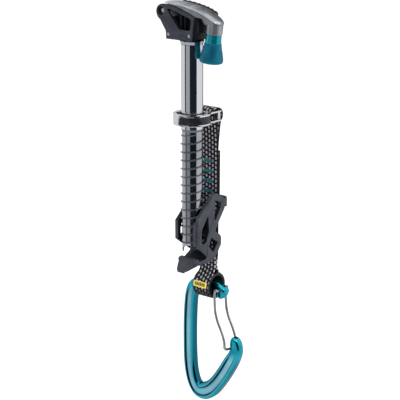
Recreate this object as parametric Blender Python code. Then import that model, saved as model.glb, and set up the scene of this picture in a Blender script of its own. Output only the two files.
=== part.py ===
"""Ice screw with folding crank, sliding swivel ring, sewn sling, tooth protector and wire-gate carabiner.

Frame: +Z runs up the screw tube to the head, +X is the side the folded crank points to,
+Y is the side the sling hangs on.  The origin is on the tube axis in the plane of the tooth tips.
Dimensions below are millimetres and become metres in the mesh builders.
"""
import math

import bmesh
import bpy
from mathutils import Matrix, Vector
from mathutils.geometry import tessellate_polygon

MM = 0.001

# screw tube
TUBE_R = 8.3
ROOT_R = 7.7
CREST_R = 8.95
BORE_R = 6.5
SMOOTH_FROM = 96.5
TUBE_TOP = 163.4
FLARE_R = 9.2
SPIGOT_R = 5.6
SPIGOT_TOP = 165.8
BORE_TOP = 158.0
PITCH = 6.4
THREAD_TURNS = 13.75
THREAD_TOP = 93.6
THREAD_TOP_ANGLE = 336.0
THREAD_FOOT = 1.5
THREAD_LAND = 0.55
TURN_STEPS = 20
TOOTH_DEPTH = 7.4
TOOTH_TIPS = (25.0, 115.0, 205.0, 295.0)

# head
HEAD_FACE = 8.5
PLATE_T = 2.1
HEAD_FOOT = 163.7
PIVOT = (-22.9, 184.1)
LUG_R = 4.6
LUG_T = 3.8
PIN_R = 1.9
PIN_HOLE_R = 2.0
COUNTERBORE_R = 3.3
COUNTERBORE_D = 2.6
RIVET_R = 1.2
RIVETS = ((-15.8, 167.2), (4.2, 167.5))
CORE_Y = 6.1

# crank
ARM_Y = 7.6
EYE_R = 4.4
EYE_Y = 4.4
LEAN = 7.5
BOSS_TOP = (21.95, 177.0)
BOSS_R = 6.15
BOSS_END = 169.9
FERRULE_R = (5.75, 6.1)
GRIP_R = (6.35, 8.75)
FERRULE_LEN = 7.0
GRIP_END = 21.3
AXLE_R = 2.0

# ring
RING_LOW = 100.6
RING_HIGH = 108.8
RING_R = 14.25
RING_BORE = 10.5
RING_FLANGE = 1.15
ARM_OUT = 10.9
ARM_IN = 9.3
ARM_END = 22.0
BAR_Y = (19.0, 21.4)
BAR_Z = (101.6, 107.9)
LINER_R = (9.25, 10.4)
SWING_AXIS = (20.2, 104.7)

# sling
WEB_HALF = 9.0
WEB_LOW_HALF = 7.4
LOOP_UP = (4.3, 6.2)
LOOP_DOWN = (8.9, 10.3)
LOW_AXIS = (20.2, -30.6)
KEEPER_BORE = 8.0
KEEPER_HALF = 8.3
KEEPER_GATE = 7.9
LABEL_ARC = (157.0, 182.0)

# protector
JAW_IN = 9.3
JAW_OUT = 12.2

# carabiner
CARAB_Y = 21.0
HANG_Z = -31.2
GATE_PIN = (12.6, -33.0)
WIRE_R = 1.05
WIRE_Y = 6.9

for item in list(bpy.data.objects):
    bpy.data.objects.remove(item, do_unlink=True)


def material(name, colour, metallic, roughness):
    """Return a named Principled material."""
    mat = bpy.data.materials.new(name)
    mat.use_nodes = True
    shader = mat.node_tree.nodes["Principled BSDF"]
    shader.inputs["Base Color"].default_value = (*colour, 1.0)
    shader.inputs["Metallic"].default_value = metallic
    shader.inputs["Roughness"].default_value = roughness
    mat.diffuse_color = (*colour, 1.0)
    return mat


def build(name, verts, faces, mat, smooth=True, pivot=(0.0, 0.0, 0.0)):
    """Make one closed object from millimetre vertices, with its origin at pivot."""
    centre = Vector(pivot)
    mesh = bpy.data.meshes.new(name)
    mesh.from_pydata([(Vector(v) - centre) * MM for v in verts], [], faces)
    mesh.materials.append(mat)
    obj = bpy.data.objects.new(name, mesh)
    obj.location = centre * MM
    bpy.context.scene.collection.objects.link(obj)
    tidy(obj)
    for poly in mesh.polygons:
        poly.use_smooth = smooth
    return obj


def tidy(obj):
    """Weld coincident vertices and turn the faces outward."""
    bm = bmesh.new()
    bm.from_mesh(obj.data)
    bmesh.ops.remove_doubles(bm, verts=bm.verts, dist=0.00001)
    bmesh.ops.recalc_face_normals(bm, faces=bm.faces)
    bm.to_mesh(obj.data)
    bm.free()


def prism(name, outline, holes, lo, hi, mat, axis="Y", smooth=False, pivot=(0.0, 0.0, 0.0)):
    """Extrude an outline with holes along one axis; lo and hi may be numbers or functions of a point."""
    rings = [outline] + list(holes)
    flat = [p for ring in rings for p in ring]
    place = {
        "X": lambda p, d: (d, p[0], p[1]),
        "Y": lambda p, d: (p[0], d, p[1]),
        "Z": lambda p, d: (p[0], p[1], d),
    }[axis]
    near = [place(p, lo(p) if callable(lo) else lo) for p in flat]
    far = [place(p, hi(p) if callable(hi) else hi) for p in flat]
    count = len(flat)
    tris = tessellate_polygon([[Vector((p[0], p[1], 0.0)) for p in ring] for ring in rings])
    faces = [tuple(t) for t in tris]
    faces += [tuple(count + i for i in reversed(t)) for t in tris]
    start = 0
    for ring in rings:
        size = len(ring)
        for i in range(size):
            a = start + i
            b = start + (i + 1) % size
            faces.append((a, b, count + b, count + a))
        start += size
    return build(name, near + far, faces, mat, smooth, pivot)


def revolve(name, profile, steps, mat, matrix=None, pivot=(0.0, 0.0, 0.0), smooth=True):
    """Turn a closed (radius, height) profile about local Z, then place it with matrix."""
    verts = []
    faces = []
    size = len(profile)
    matrix = matrix or Matrix.Identity(4)
    for k in range(steps):
        a = 2.0 * math.pi * k / steps
        for r, z in profile:
            verts.append(matrix @ Vector((r * math.cos(a), r * math.sin(a), z)))
    for k in range(steps):
        n = (k + 1) % steps
        for i in range(size):
            j = (i + 1) % size
            on_axis = profile[i][0] < 1e-6
            next_axis = profile[j][0] < 1e-6
            if on_axis and next_axis:
                continue
            if on_axis:
                faces.append((k * size + i, k * size + j, n * size + j))
            elif next_axis:
                faces.append((k * size + i, k * size + j, n * size + i))
            else:
                faces.append((k * size + i, k * size + j, n * size + j, n * size + i))
    return build(name, verts, faces, mat, smooth, pivot)


def loft(name, rings, mat, smooth=True, pivot=(0.0, 0.0, 0.0)):
    """Skin a row of equal vertex rings and cap both ends."""
    size = len(rings[0])
    verts = [v for ring in rings for v in ring]
    faces = []
    for k in range(len(rings) - 1):
        for i in range(size):
            j = (i + 1) % size
            faces.append((k * size + i, k * size + j, (k + 1) * size + j, (k + 1) * size + i))
    faces.append(tuple(range(size)))
    last = (len(rings) - 1) * size
    faces.append(tuple(reversed(range(last, last + size))))
    return build(name, verts, faces, mat, smooth, pivot)


def combine(obj, other, operation):
    """Apply one exact Boolean and remove the second operand."""
    other.hide_render = True
    other.display_type = "WIRE"
    mod = obj.modifiers.new("cut", "BOOLEAN")
    mod.operation = operation
    mod.solver = "EXACT"
    mod.object = other
    depsgraph = bpy.context.evaluated_depsgraph_get()
    result = bpy.data.meshes.new_from_object(obj.evaluated_get(depsgraph))
    obj.modifiers.remove(mod)
    old = obj.data
    obj.data = result
    result.name = obj.name
    bpy.data.meshes.remove(old)
    bpy.data.objects.remove(other, do_unlink=True)


def merge_flats(obj):
    """Join neighbouring coplanar faces."""
    bm = bmesh.new()
    bm.from_mesh(obj.data)
    bmesh.ops.dissolve_limit(bm, angle_limit=math.radians(0.2), verts=bm.verts, edges=bm.edges)
    bmesh.ops.recalc_face_normals(bm, faces=bm.faces)
    bm.to_mesh(obj.data)
    bm.free()


def bevel(obj, width, limit=40.0):
    """Break the sharp edges of an object with a one-segment bevel."""
    bm = bmesh.new()
    bm.from_mesh(obj.data)
    bmesh.ops.dissolve_limit(bm, angle_limit=math.radians(1.0), verts=bm.verts, edges=bm.edges)
    edges = [e for e in bm.edges if len(e.link_faces) == 2 and e.calc_face_angle(0.0) > math.radians(limit)]
    bmesh.ops.bevel(
        bm, geom=edges, offset=width * MM, segments=1, profile=0.5, affect="EDGES", clamp_overlap=True
    )
    bmesh.ops.remove_doubles(bm, verts=bm.verts, dist=0.00002)
    bmesh.ops.recalc_face_normals(bm, faces=bm.faces)
    bm.to_mesh(obj.data)
    bm.free()


def arc(centre, radius, start, end, steps):
    """Points on an arc in a plane, ends included, angles in degrees."""
    points = []
    for k in range(steps + 1):
        a = math.radians(start + (end - start) * k / steps)
        points.append((centre[0] + radius * math.cos(a), centre[1] + radius * math.sin(a)))
    return points


def circle(centre, radius, steps, turn=0.0):
    """Points on a full circle."""
    return arc(centre, radius, turn, turn + 360.0 * (steps - 1) / steps, steps - 1)


def smooth_path(points, per_span):
    """Catmull-Rom curve through control points of any length of tuple."""
    out = []
    count = len(points)
    for i in range(count - 1):
        p0 = points[max(i - 1, 0)]
        p1 = points[i]
        p2 = points[i + 1]
        p3 = points[min(i + 2, count - 1)]
        for k in range(per_span):
            t = k / per_span
            out.append(tuple(
                0.5 * (2 * b + (c - a) * t + (2 * a - 5 * b + 4 * c - d) * t * t + (3 * b - a - 3 * c + d) * t ** 3)
                for a, b, c, d in zip(p0, p1, p2, p3)
            ))
    out.append(tuple(points[-1]))
    return out


def height_at(line, x):
    """Height of a line of (x, z) points, ordered by x, at one x."""
    near = 0
    while near < len(line) - 2 and line[near + 1][0] < x:
        near += 1
    (x0, z0), (x1, z1) = line[near], line[near + 1]
    return z0 + (z1 - z0) * (x - x0) / (x1 - x0)


def across_y(x, z):
    """Matrix that lays local Z along world Y through (x, z)."""
    return Matrix.Translation((x, 0.0, z)) @ Matrix.Rotation(math.radians(90.0), 4, "X")


def across_x(y, z):
    """Matrix that lays local Z along world X through (y, z)."""
    return Matrix.Translation((0.0, y, z)) @ Matrix.Rotation(math.radians(90.0), 4, "Y")


def rod(radius, lo, hi):
    """Closed profile of a plain cylinder."""
    return [(0.0, lo), (radius, lo), (radius, hi), (0.0, hi)]


STEEL = material("polished_steel", (0.78, 0.79, 0.80), 1.0, 0.12)
PIN_STEEL = material("pin_steel", (0.75, 0.75, 0.76), 1.0, 0.25)
PLATE_BLACK = material("head_black", (0.035, 0.04, 0.047), 0.3, 0.42)
CORE_BLACK = material("core_black", (0.012, 0.013, 0.016), 0.0, 0.5)
GUNMETAL = material("crank_gunmetal", (0.19, 0.21, 0.23), 0.9, 0.38)
COVER_BLACK = material("cover_black", (0.012, 0.013, 0.015), 0.0, 0.55)
TEAL_GLOSS = material("teal_anodised", (0.02, 0.28, 0.38), 0.9, 0.22)
TEAL_MATTE = material("teal_grip", (0.005, 0.13, 0.22), 0.0, 0.5)
RING_STEEL = material("ring_steel", (0.80, 0.80, 0.81), 1.0, 0.15)
BAND_BLACK = material("band_black", (0.012, 0.013, 0.016), 0.0, 0.35)
LINER_BLACK = material("liner_nylon", (0.02, 0.022, 0.028), 0.0, 0.5)
WEBBING = material("sling_webbing", (0.03, 0.03, 0.035), 0.0, 0.9)
THREAD = material("tack_thread", (0.01, 0.16, 0.21), 0.0, 0.8)
LABEL = material("label_yellow", (0.85, 0.66, 0.06), 0.0, 0.6)
RUBBER = material("keeper_rubber", (0.03, 0.03, 0.033), 0.0, 0.65)
MOULDED = material("protector_plastic", (0.09, 0.105, 0.125), 0.0, 0.5)
CARAB_TEAL = material("carabiner_anodised", (0.03, 0.36, 0.46), 0.95, 0.2)
WIRE_STEEL = material("gate_wire_steel", (0.42, 0.42, 0.43), 1.0, 0.3)


# ---------------------------------------------------------------- screw tube
tube = revolve(
    "screw_tube",
    [
        (BORE_R, 0.0),
        (ROOT_R, 0.0),
        (ROOT_R, SMOOTH_FROM - 1.2),
        (TUBE_R, SMOOTH_FROM),
        (TUBE_R, TUBE_TOP - 3.2),
        (TUBE_R + 0.35, TUBE_TOP - 1.6),
        (FLARE_R, TUBE_TOP - 0.5),
        (FLARE_R, TUBE_TOP),
        (SPIGOT_R, TUBE_TOP),
        (SPIGOT_R, SPIGOT_TOP),
        (0.0, SPIGOT_TOP),
        (0.0, BORE_TOP + 2.0),
        (BORE_R, BORE_TOP),
    ],
    TURN_STEPS,
    STEEL,
)
stations = int(THREAD_TURNS * TURN_STEPS)
rings = []
for k in range(stations + 1):
    behind = (stations - k) / TURN_STEPS
    z = THREAD_TOP - PITCH * behind
    a = math.radians(THREAD_TOP_ANGLE - 360.0 * behind)
    grow = min(1.0, min(k, stations - k) / (TURN_STEPS * 0.5) + 0.12)
    top = ROOT_R - 0.1 + (CREST_R - ROOT_R + 0.1) * grow
    foot = THREAD_FOOT * 0.5
    land = THREAD_LAND * 0.5
    rings.append([
        (r * math.cos(a), r * math.sin(a), z + dz)
        for r, dz in ((ROOT_R - 0.55, -foot), (top, -land), (top, land), (ROOT_R - 0.55, foot))
    ])
combine(tube, loft("thread", rings, STEEL), "UNION")
for tip in TOOTH_TIPS:
    wedge = []
    for radius in (4.5, 12.0):
        for turn, z in (
            (2.0, -1.0), (2.0, 0.1), (42.0, 5.5), (74.0, TOOTH_DEPTH - 0.6), (84.0, TOOTH_DEPTH),
            (94.0, TOOTH_DEPTH - 0.2), (96.5, TOOTH_DEPTH - 1.4), (90.0, 0.0), (89.5, -1.0),
        ):
            ang = math.radians(tip + turn)
            wedge.append((radius * math.cos(ang), radius * math.sin(ang), z))
    cutter = loft("gullet", [wedge[:9], wedge[9:]], STEEL)
    combine(tube, cutter, "DIFFERENCE")
merge_flats(tube)

# ---------------------------------------------------------------- head plates
lug = smooth_path([
    (-17.0, 188.9), (-20.6, 189.3), (-23.6, 188.9), (-26.2, 187.2), (-27.5, 184.5), (-27.3, 181.7), (-25.9, 179.1),
    (-23.7, 177.5),
], 2)
plate = lug + [
    (-21.3, 173.9), (-18.8, 170.4), (-18.1, 168.6), (-18.0, HEAD_FOOT), (6.4, HEAD_FOOT), (8.9, 180.8),
    (7.4, 182.4), (-0.5, 185.2), (-9.0, 187.9),
]
window = [
    (-16.9, 185.3), (-16.1, 186.2), (-13.0, 186.0), (5.0, 180.4), (6.4, 179.0), (5.4, 172.6), (4.4, 171.5),
    (-4.6, 171.4), (-6.8, 172.6),
]
for side, name in ((-1.0, "hanger_front_plate"), (1.0, "hanger_back_plate")):
    outer = side * HEAD_FACE
    inner = side * (HEAD_FACE - PLATE_T)
    holes = [circle(PIVOT, COUNTERBORE_R, 16)] + [circle(c, RIVET_R + 0.1, 12) for c in RIVETS]
    if side < 0:
        holes.append(window)
    body = prism(name, plate, holes, min(outer, inner), max(outer, inner), PLATE_BLACK)
    deep = side * (HEAD_FACE - LUG_T)
    seat = side * (HEAD_FACE - COUNTERBORE_D)
    boss = prism(
        "lug_boss", circle(PIVOT, LUG_R - 0.25, 24), [circle(PIVOT, PIN_HOLE_R, 16)],
        min(seat, deep), max(seat, deep), PLATE_BLACK,
    )
    collar = prism(
        "lug_collar", circle(PIVOT, LUG_R - 0.35, 24), [circle(PIVOT, COUNTERBORE_R, 16)],
        min(side * (HEAD_FACE - 0.6), seat - side * 0.2), max(side * (HEAD_FACE - 0.6), seat - side * 0.2),
        PLATE_BLACK,
    )
    combine(body, collar, "UNION")
    combine(body, boss, "UNION")

# ---------------------------------------------------------------- head core
core_outline = [
    (-16.9, 174.0), (-16.9, HEAD_FOOT + 0.3), (7.9, HEAD_FOOT + 0.3), (9.6, 169.5),
    (11.6, 169.9), (12.0, 176.2), (9.9, 181.0), (-0.6, 183.4), (-9.4, 184.9), (-14.4, 178.6),
]
core = prism("hanger_core", core_outline, [], -CORE_Y, CORE_Y, CORE_BLACK)
recess = prism(
    "recess", [(-16.0, 185.6), (-5.6, 170.4), (5.6, 170.4), (6.6, 179.6), (-12.0, 186.2)], [],
    -9.0, -2.2, CORE_BLACK,
)
combine(core, recess, "DIFFERENCE")
for x, half in ((-6.4, 0.7), (-2.4, 0.5)):
    rib = prism(
        "rib", [(x - half, 171.6), (x + half, 170.2), (x + half, 182.9), (x - half, 183.4)], [],
        -5.2, -2.0, CORE_BLACK,
    )
    combine(core, rib, "UNION")
socket = revolve("socket", rod(SPIGOT_R + 0.12, HEAD_FOOT - 1.0, SPIGOT_TOP + 0.2), 24, CORE_BLACK)
combine(core, socket, "DIFFERENCE")
for x, z in RIVETS:
    drill = revolve("drill", rod(RIVET_R + 0.1, -12.0, 12.0), 12, CORE_BLACK, across_y(x, z))
    combine(core, drill, "DIFFERENCE")

for (x, z), name in zip(RIVETS, ("hanger_rivet_left", "hanger_rivet_right")):
    face = HEAD_FACE + 0.25
    revolve(
        name,
        [(0.0, -face), (RIVET_R - 0.35, -face), (RIVET_R, -face + 0.3), (RIVET_R, face - 0.3),
         (RIVET_R - 0.35, face), (0.0, face)],
        12, PIN_STEEL, across_y(x, z), pivot=(x, 0.0, z),
    )
pin_end = HEAD_FACE - COUNTERBORE_D + 0.9
revolve(
    "crank_pivot_pin",
    [(0.0, -pin_end), (PIN_R - 0.5, -pin_end), (PIN_R, -pin_end + 0.45), (PIN_R, pin_end - 0.45),
     (PIN_R - 0.5, pin_end), (0.0, pin_end)],
    16, PIN_STEEL, across_y(*PIVOT), pivot=(PIVOT[0], 0.0, PIVOT[1]),
)

# ---------------------------------------------------------------- crank arm
lean = math.radians(LEAN)
boss_axis = Vector((math.sin(lean), 0.0, math.cos(lean)))
boss_foot = Vector((BOSS_TOP[0], 0.0, BOSS_TOP[1])) - boss_axis * ((BOSS_TOP[1] - BOSS_END) / math.cos(lean))
knob_place = Matrix.Translation(boss_foot) @ Matrix.Rotation(lean, 4, "Y")
hinge_at = (PIVOT[0], 0.0, PIVOT[1])

crest = smooth_path(
    [(-21.6, 190.9), (-14.0, 191.2), (-5.0, 190.5), (4.0, 189.0), (12.0, 187.0), (19.0, 184.0), (24.6, 180.9), (28.2, 178.7)],
    2,
)
belly = [
    (-21.6, 189.9), (-17.0, 189.5), (-9.0, 188.1), (-0.5, 185.4), (7.4, 182.6), (9.4, 181.6), (16.4, 180.8),
    (17.6, 177.4), (28.4, 176.6),
]
arm_rings = []
spans = len(crest)
for k in range(spans):
    x, top = crest[k]
    low = height_at(belly, x)
    half = ARM_Y - 1.3 * min(1.0, max(0.0, (x - 10.0) / 12.0))
    if x > BOSS_TOP[0] + 0.4:
        reach = x - BOSS_TOP[0] - 0.4
        half = max(1.4, math.sqrt(max(0.0, (BOSS_R + 0.15) ** 2 - reach * reach)))
    if k == 0:
        half = ARM_Y - 2.2
    lowest = min(low, top - 1.3)
    arm_rings.append([
        (x, -half, lowest + 0.25), (x, -half, top - 1.5), (x, -half + 1.1, top - 0.55), (x, -half * 0.45, top),
        (x, half * 0.45, top), (x, half - 1.1, top - 0.55), (x, half, top - 1.5), (x, half, lowest + 0.25),
    ])
arm = loft("crank_arm", arm_rings, GUNMETAL, pivot=hinge_at)
eye = prism(
    "eye", arc(PIVOT, EYE_R, 75.0, 262.0, 12) + [(-19.6, 181.4), (-14.6, 186.7), (-11.2, 189.4), (-16.0, 190.4)],
    [], -EYE_Y, EYE_Y, GUNMETAL,
)
combine(arm, eye, "UNION")
boss = revolve(
    "boss",
    [(0.0, 0.0), (BOSS_R - 0.25, 0.0), (BOSS_R, 0.3), (BOSS_R, 7.5), (BOSS_R - 1.6, 8.7), (0.0, 8.9)],
    24, GUNMETAL, knob_place,
)
combine(arm, boss, "UNION")
web = prism(
    "arm_web", [(9.8, 183.6), (12.9, 180.4), (15.4, 176.8), (18.0, 176.4), (22.0, 178.4), (16.0, 183.4)], [],
    -4.6, 4.6, GUNMETAL,
)
combine(arm, web, "UNION")
hole = revolve("hole", rod(PIN_HOLE_R, -9.0, 9.0), 16, GUNMETAL, across_y(*PIVOT))
combine(arm, hole, "DIFFERENCE")
bolt = revolve("bolt", rod(AXLE_R + 0.02, -1.0, 6.2), 16, GUNMETAL, knob_place)
combine(arm, bolt, "DIFFERENCE")
strip_line = [p for p in crest if -15.0 < p[0] < 20.5]
rebate_low = [(x, z - 1.4) for x, z in strip_line]
rebate = prism(
    "rebate", [(x, z + 3.0) for x, z in strip_line] + list(reversed(rebate_low)), [], ARM_Y - 2.0, ARM_Y + 2.0,
    GUNMETAL,
)
combine(arm, rebate, "DIFFERENCE")
for k in range(5):
    x = -9.5 + 4.2 * k
    top = height_at(crest, x)
    fall = (height_at(crest, x + 0.5) - height_at(crest, x - 0.5))
    turn = Matrix.Translation((x, -0.8, top)) @ Matrix.Rotation(-math.atan(fall), 4, "Y")
    slot = [turn @ Vector(v) for v in (
        (-0.55, -3.1, -0.45), (0.55, -3.1, -0.45), (0.55, 3.1, -0.45), (-0.55, 3.1, -0.45),
        (-0.9, -3.5, 0.9), (0.9, -3.5, 0.9), (0.9, 3.5, 0.9), (-0.9, 3.5, 0.9),
    )]
    combine(arm, loft("groove", [slot[:4], slot[4:]], GUNMETAL), "DIFFERENCE")

cover_top = []
for k in range(1, len(strip_line)):
    x0, z0 = strip_line[k - 1]
    x1, z1 = strip_line[k]
    for part in range(3):
        share = part / 3.0
        x = x0 + (x1 - x0) * share
        z = z0 + (z1 - z0) * share
        cover_top.append((x + 0.12, z + (0.45 if part % 2 else 0.0)))
tail = cover_top[-1]
cover_top += [(tail[0] + 0.6, tail[1] - 0.1)]
cover_foot = [(x, z - 1.15) for x, z in strip_line]
cover_foot[0] = (strip_line[0][0] + 0.15, strip_line[0][1] - 1.15)
cover_foot[-1] = (strip_line[-1][0] - 0.2, strip_line[-1][1] - 1.15)
prism(
    "crank_arm_cover", cover_top + list(reversed(cover_foot)), [], ARM_Y - 1.85, ARM_Y + 0.2, COVER_BLACK,
    pivot=hinge_at,
)

# ---------------------------------------------------------------- knob
revolve(
    "knob_axle",
    [(0.0, -19.4), (3.4, -19.4), (3.6, -19.1), (3.6, -18.2), (AXLE_R, -18.0), (AXLE_R, 6.0), (0.0, 6.0)],
    16, PIN_STEEL, knob_place, pivot=tuple(boss_foot),
)
revolve(
    "knob_ferrule",
    [(AXLE_R + 0.1, -FERRULE_LEN), (FERRULE_R[1], -FERRULE_LEN), (FERRULE_R[0], -2.6), (FERRULE_R[0], -0.5),
     (FERRULE_R[0] - 0.3, -0.15), (AXLE_R + 0.1, -0.15)],
    28, TEAL_GLOSS, knob_place, pivot=tuple(boss_foot),
)
revolve(
    "knob_grip",
    [(AXLE_R + 0.1, -FERRULE_LEN - 0.05), (AXLE_R + 0.1, -17.8), (4.4, -17.8), (4.4, -GRIP_END + 0.5),
     (5.0, -GRIP_END), (GRIP_R[1] - 1.3, -GRIP_END), (GRIP_R[1] - 0.3, -GRIP_END + 0.7),
     (GRIP_R[1], -GRIP_END + 1.8), (GRIP_R[1] - 0.15, -GRIP_END + 3.2), (7.6, -12.6), (6.75, -9.4),
     (GRIP_R[0], -FERRULE_LEN - 0.05)],
    28, TEAL_MATTE, knob_place, pivot=tuple(boss_foot),
)

# ---------------------------------------------------------------- swivel ring
ring_outline = arc((0.0, 0.0), RING_R, 180.0 - 40.2, 360.0 + 40.2, 26)
ring_outline = [p for p in ring_outline if abs(p[0]) <= ARM_OUT or p[1] < 9.1]
ring_outline += [(ARM_OUT, ARM_END - 0.8), (ARM_OUT - 0.8, ARM_END), (ARM_IN + 0.3, ARM_END), (ARM_IN, ARM_END - 0.3)]
ring_outline += [(ARM_IN, BAR_Y[1]), (-ARM_IN, BAR_Y[1])]
ring_outline += [(-ARM_IN, ARM_END - 0.3), (-ARM_IN - 0.3, ARM_END), (-ARM_OUT + 0.8, ARM_END), (-ARM_OUT, ARM_END - 0.8)]
front_of_loop = [(-ARM_IN, BAR_Y[0]), (ARM_IN, BAR_Y[0]), (ARM_IN, 11.2)] + arc((0.0, 0.0), 14.1, 52.6, 127.4, 8) + [
    (-ARM_IN, 11.2)
]
ring_hole = circle((0.0, 0.0), RING_BORE, 32)
ring = prism(
    "ring_frame", ring_outline, [ring_hole, front_of_loop], RING_LOW, RING_LOW + RING_FLANGE, RING_STEEL, axis="Z",
    smooth=True,
)
upper = prism(
    "upper_flange", ring_outline, [ring_hole, front_of_loop], RING_HIGH - RING_FLANGE, RING_HIGH, RING_STEEL,
    axis="Z",
)
wall = prism(
    "ring_wall", circle((0.0, 0.0), 12.2, 32), [circle((0.0, 0.0), RING_BORE, 32)],
    RING_LOW + 0.4, RING_HIGH - 0.4, RING_STEEL, axis="Z",
)
combine(ring, wall, "UNION")
combine(ring, upper, "UNION")
bare = arc((0.0, 0.0), RING_R - 0.12, 178.0, 267.0, 10) + arc((0.0, 0.0), 11.4, 267.0, 178.0, 10)
combine(ring, prism("bare_side", bare, [], RING_LOW + 0.5, RING_HIGH - 0.5, RING_STEEL, axis="Z"), "UNION")
for low, high in ((RING_LOW - 1.0, BAR_Z[0]), (BAR_Z[1], RING_HIGH + 1.0)):
    step = prism(
        "bar_step", [(-ARM_IN, 18.0), (ARM_IN, 18.0), (ARM_IN, 22.0), (-ARM_IN, 22.0)], [], low, high, RING_STEEL,
        axis="Z",
    )
    combine(ring, step, "DIFFERENCE")
bar_y = 0.5 * (BAR_Y[0] + BAR_Y[1])
bar_half = 0.5 * (BAR_Y[1] - BAR_Y[0])
bar_section = arc((bar_y, BAR_Z[1] - bar_half), bar_half, 0.0, 180.0, 6)
bar_section += arc((bar_y, BAR_Z[0] + bar_half), bar_half, 180.0, 360.0, 6)
combine(
    ring, prism("ring_bar", bar_section, [], -ARM_IN - 0.3, ARM_IN + 0.3, RING_STEEL, axis="X"), "UNION"
)
bevel(ring, 0.3, 60.0)

band = arc((0.0, 0.0), 13.5, -91.5, 34.0, 16) + [(10.4, 8.6), (10.2, 9.6), (9.6, 9.9)]
band += arc((0.0, 0.0), 12.35, 52.0, -91.5, 18)
prism(
    "ring_band", band, [], RING_LOW + RING_FLANGE + 0.08, RING_HIGH - RING_FLANGE - 0.08, BAND_BLACK, axis="Z",
    smooth=True,
)
revolve(
    "ring_liner",
    [(LINER_R[0], RING_LOW + 0.3), (LINER_R[1], RING_LOW + 0.3), (LINER_R[1], RING_HIGH - 0.3),
     (LINER_R[0], RING_HIGH - 0.3)],
    32, LINER_BLACK, smooth=True,
)

# ---------------------------------------------------------------- sling
uy, uz = SWING_AXIS
ly, lz = LOW_AXIS
loop_outer = arc((uy, uz), LOOP_UP[1], 232.0, -52.0, 20)
outer_back = [(23.2, 97.0), (22.2, 90.0), (21.3, 83.0), (20.9, 77.6), (22.9, 77.2), (22.8, 60.0), (22.3, 40.0),
              (21.7, 20.0), (21.2, 0.0), (21.4, -12.0), (23.0, -17.6)]
low_outer = arc((ly, lz), LOOP_DOWN[1], 60.0, -238.0, 24)
front_face = [(17.6, -17.4), (18.0, -12.0), (18.2, 0.0), (18.6, 20.0), (18.9, 40.0), (18.9, 60.0), (18.9, 80.0),
              (18.4, 90.0), (17.4, 97.0)]
web_outline = loop_outer + outer_back + low_outer + front_face
web_holes = [circle((uy, uz), LOOP_UP[0], 18), circle((ly, lz), LOOP_DOWN[0], 22)]


def web_half(point):
    """Half width of the webbing at one height."""
    share = min(1.0, max(0.0, (-4.0 - point[1]) / 14.0))
    return WEB_HALF + (WEB_LOW_HALF - WEB_HALF) * share


prism(
    "sling_webbing", web_outline, web_holes, lambda p: -web_half(p), web_half, WEBBING, axis="X", smooth=True,
    pivot=(0.0, uy, uz),
)
for row in range(4):
    z = 68.6 - 7.87 * row
    tack = [(-4.4 + 1.1 * k, 1.5 if k % 3 else 1.0) for k in range(9)]
    upper_edge = [(x, z + h) for x, h in tack]
    lower_edge = [(x, z - h) for x, h in reversed(tack)]
    prism(
        "sling_bar_tack_%d" % (row + 1), upper_edge + lower_edge, [], 18.45, 18.85, THREAD, axis="Y",
        pivot=(0.0, uy, uz),
    )
label_in = arc((ly, lz), LOOP_DOWN[1] + 0.12, LABEL_ARC[0], LABEL_ARC[1], 8)
label_out = arc((ly, lz), LOOP_DOWN[1] + 0.5, LABEL_ARC[1], LABEL_ARC[0], 8)
prism("sling_label", label_in + label_out, [], -7.0, 5.8, LABEL, axis="X", smooth=True, pivot=(0.0, uy, uz))
revolve(
    "carabiner_keeper",
    [(KEEPER_BORE, -KEEPER_HALF), (9.9, -KEEPER_HALF), (10.3, -KEEPER_HALF + 0.3), (10.3, -KEEPER_HALF + 0.75),
     (8.75, -KEEPER_HALF + 0.75), (8.75, KEEPER_HALF - 0.75), (10.2, KEEPER_HALF - 0.75),
     (10.2, KEEPER_GATE - 0.15), (9.9, KEEPER_GATE), (KEEPER_BORE, KEEPER_GATE)],
    24, RUBBER, across_x(ly, lz), pivot=(0.0, uy, uz),
)

# ---------------------------------------------------------------- tooth protector
upper_edge = [
    (15.2, -2.4), (20.0, 4.0), (20.0, 10.0), (18.2, 12.4), (12.4, 16.2), (24.2, 32.2), (24.6, 38.6), (22.4, 41.4),
    (14.0, 45.8), (10.2, 45.2), (7.4, 42.0),
]
near_outline = [
    (-6.9, 29.4), (-6.9, 5.9), (1.9, -1.3), (2.2, -3.9), (-6.6, -4.2), (-7.0, -6.9), (4.4, -7.6), (10.4, -6.6),
] + upper_edge
far_outline = [(-5.9, 24.6), (-5.9, 10.1), (4.5, 2.4), (10.4, -1.6)] + upper_edge + [(0.5, 30.4)]
upper_slot = [(12.6, 40.6), (19.6, 37.4), (19.4, 33.8), (13.4, 24.6), (12.2, 24.8)]
long_slot = [(4.4, 30.2), (-2.6, 20.8), (-3.4, 18.0), (-3.4, 9.6), (-1.0, 8.4), (2.2, 9.6), (5.4, 17.6)]
far_slot = [(3.6, 28.4), (-2.2, 20.6), (-2.8, 18.0), (-2.8, 13.6), (-1.0, 12.2), (2.2, 12.6), (5.0, 18.6)]
diamond = [(8.0, 12.0), (16.0, 6.6), (10.6, -0.4), (5.2, 5.2)]
guard = prism(
    "tooth_protector", near_outline, [upper_slot, long_slot, diamond], JAW_IN, JAW_OUT, MOULDED, axis="X",
    pivot=(0.0, uy, uz),
)
left = prism(
    "left_cheek", far_outline, [upper_slot, far_slot, diamond], -JAW_OUT, -JAW_IN, MOULDED, axis="X",
)
flange = prism("front_flange", [(-7.4, 8.2), (-7.4, 23.6), (-6.2, 26.4), (-6.2, 7.0)], [], 7.1, JAW_IN + 0.6, MOULDED,
               axis="X")
combine(guard, flange, "UNION")
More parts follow.
